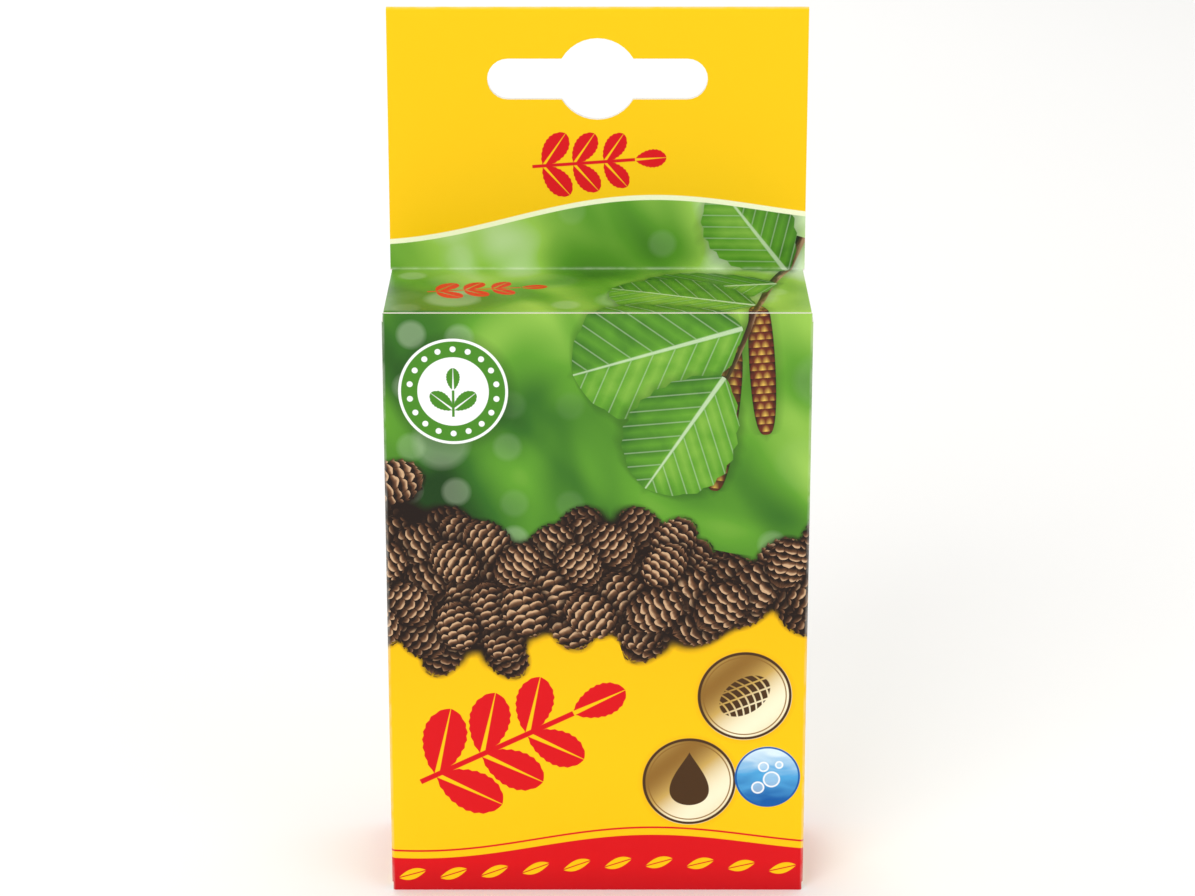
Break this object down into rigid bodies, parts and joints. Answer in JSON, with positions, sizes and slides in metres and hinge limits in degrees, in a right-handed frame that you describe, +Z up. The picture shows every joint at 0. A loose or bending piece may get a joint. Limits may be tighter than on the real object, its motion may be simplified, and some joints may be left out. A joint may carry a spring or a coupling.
{
  "type": "hang-tab folding carton of alder cones",
  "caption": "Upright printed folding carton with a double header pierced by a euro slot, a hinged tuck lid over dust flaps, a glued tuck bottom, and loose dried alder cones inside.",
  "frame": {"origin": "middle of the base, on the surface that the carton stands on", "axes": "+Z up along the carton to the top of its header, +X to the right across the front, +Y towards the back panel, so the front panel faces -Y"},
  "size_m": [0.061, 0.025, 0.128],
  "materials": {
    "printed_board": "satin",
    "inside_board": "matte",
    "cone_wood": "matte"
  },
  "bodies": {
    "carton": {"front_panel": "printed_board", "left_side_panel": "printed_board", "right_side_panel": "printed_board", "back_panel": "printed_board", "header_front_layer": "printed_board", "glue_flap": "inside_board", "bottom_panel": "printed_board", "bottom_tuck_flap": "inside_board", "bottom_dust_flap_left": "inside_board", "bottom_dust_flap_right": "inside_board", "alder_cone_01": "cone_wood", "alder_cone_02": "cone_wood", "alder_cone_03": "cone_wood", "alder_cone_04": "cone_wood", "alder_cone_05": "cone_wood", "alder_cone_06": "cone_wood", "alder_cone_07": "cone_wood", "alder_cone_08": "cone_wood", "alder_cone_09": "cone_wood", "alder_cone_10": "cone_wood", "alder_cone_11": "cone_wood", "alder_cone_12": "cone_wood", "alder_cone_13": "cone_wood", "alder_cone_14": "cone_wood", "alder_cone_15": "cone_wood", "alder_cone_16": "cone_wood", "alder_cone_17": "cone_wood", "alder_cone_18": "cone_wood", "alder_cone_19": "cone_wood", "alder_cone_20": "cone_wood", "alder_cone_21": "cone_wood", "alder_cone_22": "cone_wood", "alder_cone_23": "cone_wood", "alder_cone_24": "cone_wood", "alder_cone_25": "cone_wood", "alder_cone_26": "cone_wood", "alder_cone_27": "cone_wood", "alder_cone_28": "cone_wood", "alder_cone_29": "cone_wood", "alder_cone_30": "cone_wood", "alder_cone_31": "cone_wood", "alder_cone_32": "cone_wood", "alder_cone_33": "cone_wood", "alder_cone_34": "cone_wood", "alder_cone_35": "cone_wood", "alder_cone_36": "cone_wood", "alder_cone_37": "cone_wood", "alder_cone_38": "cone_wood", "alder_cone_39": "cone_wood", "alder_cone_40": "cone_wood", "alder_cone_41": "cone_wood", "alder_cone_42": "cone_wood", "alder_cone_43": "cone_wood", "alder_cone_44": "cone_wood", "alder_cone_45": "cone_wood"},
    "lid": {"lid_panel": "printed_board", "lid_tuck_flap": "printed_board"},
    "dust_flap_left": {"top_dust_flap_left": "inside_board"},
    "dust_flap_right": {"top_dust_flap_right": "inside_board"}
  },
  "joints": [
    {"name": "lid_hinge", "type": "hinge", "parent": "carton", "child": "lid", "pos_m": [0, 0.0114, 0.089], "axis": [-1, 0, 0], "range_deg": [0, 88]},
    {"name": "dust_flap_left_fold", "type": "hinge", "parent": "carton", "child": "dust_flap_left", "pos_m": [-0.03, 0, 0.0878], "axis": [0, -1, 0], "range_deg": [0, 44]},
    {"name": "dust_flap_right_fold", "type": "hinge", "parent": "carton", "child": "dust_flap_right", "pos_m": [0.03, 0, 0.0878], "axis": [0, 1, 0], "range_deg": [0, 44]}
  ],
  "couplings": [
    {"joint": "dust_flap_left_fold", "follows": "lid_hinge", "ratio": 0.5},
    {"joint": "dust_flap_right_fold", "follows": "lid_hinge", "ratio": 0.5}
  ]
}
